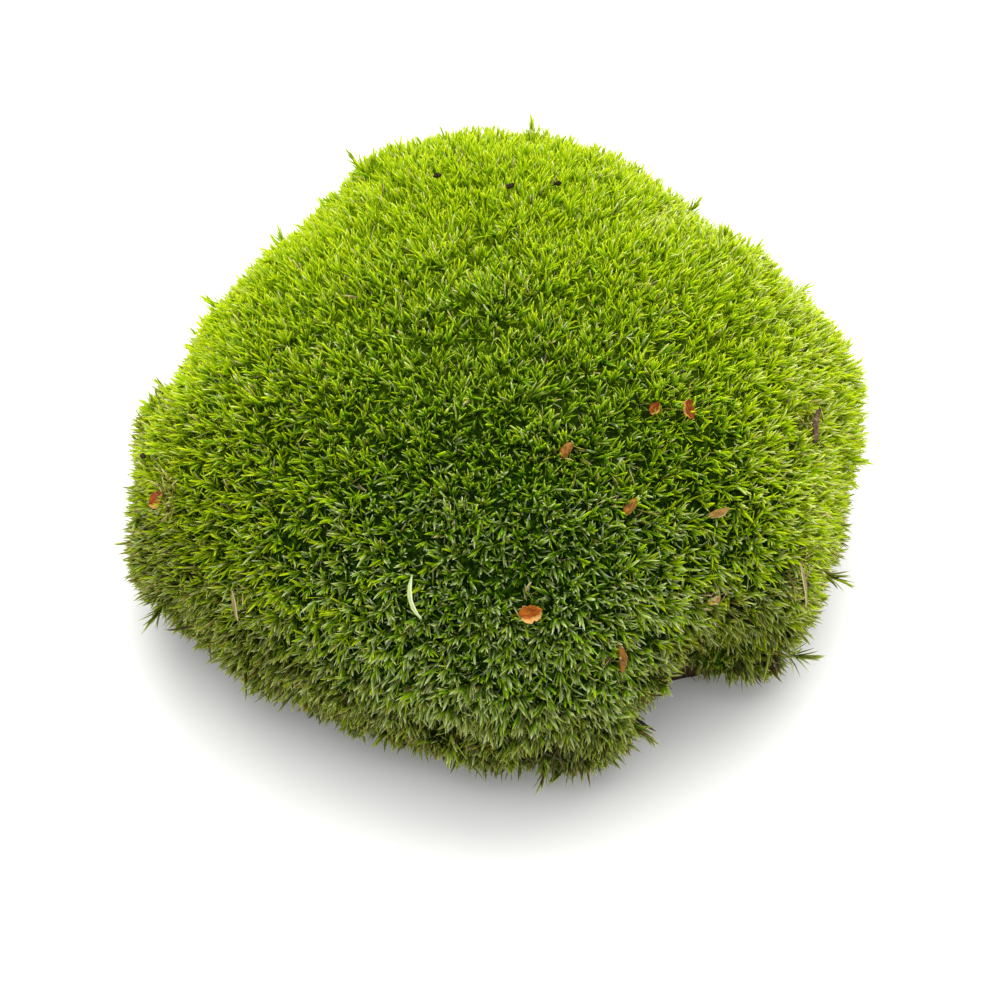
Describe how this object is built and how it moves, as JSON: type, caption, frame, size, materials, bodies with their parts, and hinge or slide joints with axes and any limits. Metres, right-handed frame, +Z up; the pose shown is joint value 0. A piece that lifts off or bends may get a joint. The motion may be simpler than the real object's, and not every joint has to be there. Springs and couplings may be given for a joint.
{
  "type": "pillow moss cushion",
  "caption": "Low domed cushion of densely packed green moss shoots on a brown mat of dead stems, with loose shoots at its rim and plant litter on top.",
  "frame": {"origin": "on the ground, under the middle of the model's box", "axes": "+X across the clump's widest side, +Y to the back, +Z up"},
  "size_m": [0.1184, 0.118, 0.058],
  "materials": {
    "living_shoots": "matt moist leaf, brighter at the top and back",
    "standing_shoots": "matt moist leaf, paler at the tips",
    "dead_stems": "matt brown fibre and humus",
    "bud_scale": "thin dry scale with a faint sheen",
    "husk": "thin dry husk",
    "dry_leaf": "dry straw",
    "twig": "bare bark",
    "crumb": "dark bark crumb"
  },
  "bodies": {
    "root": {"moss_cushion": "living_shoots", "dead_stem_mat": "dead_stems", "standing_shoot_01": "standing_shoots", "standing_shoot_02": "standing_shoots", "standing_shoot_03": "standing_shoots", "standing_shoot_04": "standing_shoots", "standing_shoot_05": "standing_shoots", "standing_shoot_06": "standing_shoots", "standing_shoot_07": "standing_shoots", "standing_shoot_08": "standing_shoots", "standing_shoot_09": "standing_shoots", "standing_shoot_10": "standing_shoots", "standing_shoot_11": "standing_shoots", "standing_shoot_12": "standing_shoots", "standing_shoot_13": "standing_shoots", "standing_shoot_14": "standing_shoots", "standing_shoot_15": "standing_shoots", "standing_shoot_16": "standing_shoots", "bud_scale_front": "bud_scale", "bud_scale_right": "bud_scale", "bud_scale_right_small": "bud_scale", "bud_scale_left": "bud_scale", "husk_top": "husk", "husk_middle": "husk", "husk_right": "husk", "husk_front": "husk", "husk_low_right": "husk", "curled_leaf": "dry_leaf", "straw_left": "dry_leaf", "straw_right": "dry_leaf", "twig_right": "twig", "crumb_left": "crumb", "crumb_back_left": "crumb", "crumb_back": "crumb", "crumb_back_right": "crumb"}
  },
  "joints": []
}
